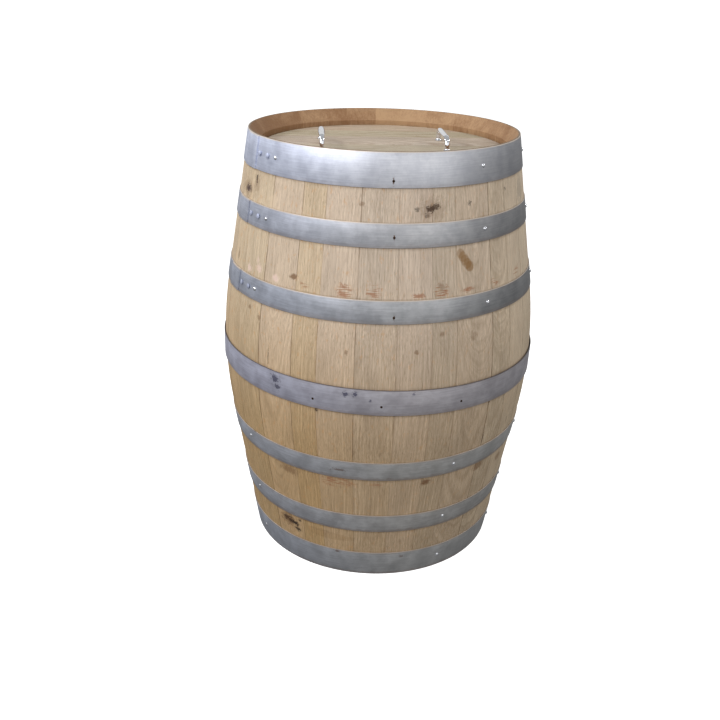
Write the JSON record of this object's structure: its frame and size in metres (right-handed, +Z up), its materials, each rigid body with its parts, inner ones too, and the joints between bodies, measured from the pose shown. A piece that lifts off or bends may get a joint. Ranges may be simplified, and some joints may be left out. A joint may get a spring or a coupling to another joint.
{
  "type": "oak wine barrel",
  "caption": "Upright oak wine barrel of bent staves under riveted steel hoops, with a recessed lift-out oak lid carrying two chromed pull handles.",
  "frame": {"origin": "centre of the bottom rim, on the surface the barrel stands on", "axes": "+Z up along the barrel's axis, front towards -Y, right side towards +X"},
  "size_m": [0.7115, 0.7113, 0.95],
  "materials": {
    "stave_oak": "planed oak, lightly sanded, bare, grain along the stave",
    "head_oak": "planed oak, bare, grain along the board",
    "dowel_oak": "turned oak",
    "fitting_oak": "sawn oak",
    "hoop_steel": "galvanised strip, dulled and scuffed",
    "rivet_steel": "galvanised, hammered",
    "bright_chrome": "polished plating",
    "nail_iron": "dark oxidised steel",
    "screw_steel": "zinc plated"
  },
  "bodies": {
    "barrel": {"stave_01": "stave_oak", "stave_02": "stave_oak", "stave_03": "stave_oak", "stave_04": "stave_oak", "stave_05": "stave_oak", "stave_06": "stave_oak", "stave_07": "stave_oak", "stave_08": "stave_oak", "stave_09": "stave_oak", "stave_10": "stave_oak", "stave_11": "stave_oak", "stave_12": "stave_oak", "stave_13": "stave_oak", "stave_14": "stave_oak", "stave_15": "stave_oak", "stave_16": "stave_oak", "stave_17": "stave_oak", "stave_18": "stave_oak", "stave_19": "stave_oak", "stave_20": "stave_oak", "stave_21": "stave_oak", "stave_22": "stave_oak", "stave_23": "stave_oak", "stave_24": "stave_oak", "stave_25": "stave_oak", "stave_26": "stave_oak", "stave_27": "stave_oak", "stave_28": "stave_oak", "hoop_head_top": "hoop_steel", "hoop_quarter_top": "hoop_steel", "hoop_bilge_top": "hoop_steel", "hoop_belly": "hoop_steel", "hoop_bilge_bottom": "hoop_steel", "hoop_quarter_bottom": "hoop_steel", "hoop_head_bottom": "hoop_steel", "hoop_rivets": "rivet_steel", "hoop_screws": "bright_chrome", "hoop_nails": "nail_iron", "base_board_1": "head_oak", "base_board_2": "head_oak", "base_board_3": "head_oak", "base_board_4": "head_oak", "base_board_5": "head_oak", "base_dowels": "dowel_oak", "lid_cleats": "fitting_oak", "cleat_screws": "screw_steel", "bung": "stave_oak"},
    "lid": {"lid_board_1": "head_oak", "lid_board_2": "head_oak", "lid_board_3": "head_oak", "lid_board_4": "head_oak", "lid_board_5": "head_oak", "lid_board_6": "head_oak", "lid_dowels": "dowel_oak", "lid_batten_left": "fitting_oak", "lid_batten_right": "fitting_oak", "batten_screws": "screw_steel", "handle_left": "bright_chrome", "handle_right": "bright_chrome", "handle_screws": "screw_steel"}
  },
  "joints": [
    {"name": "lid_lift", "type": "slide", "parent": "barrel", "child": "lid", "axis": [0, 0, 1], "range_m": [0, 0.25]}
  ]
}
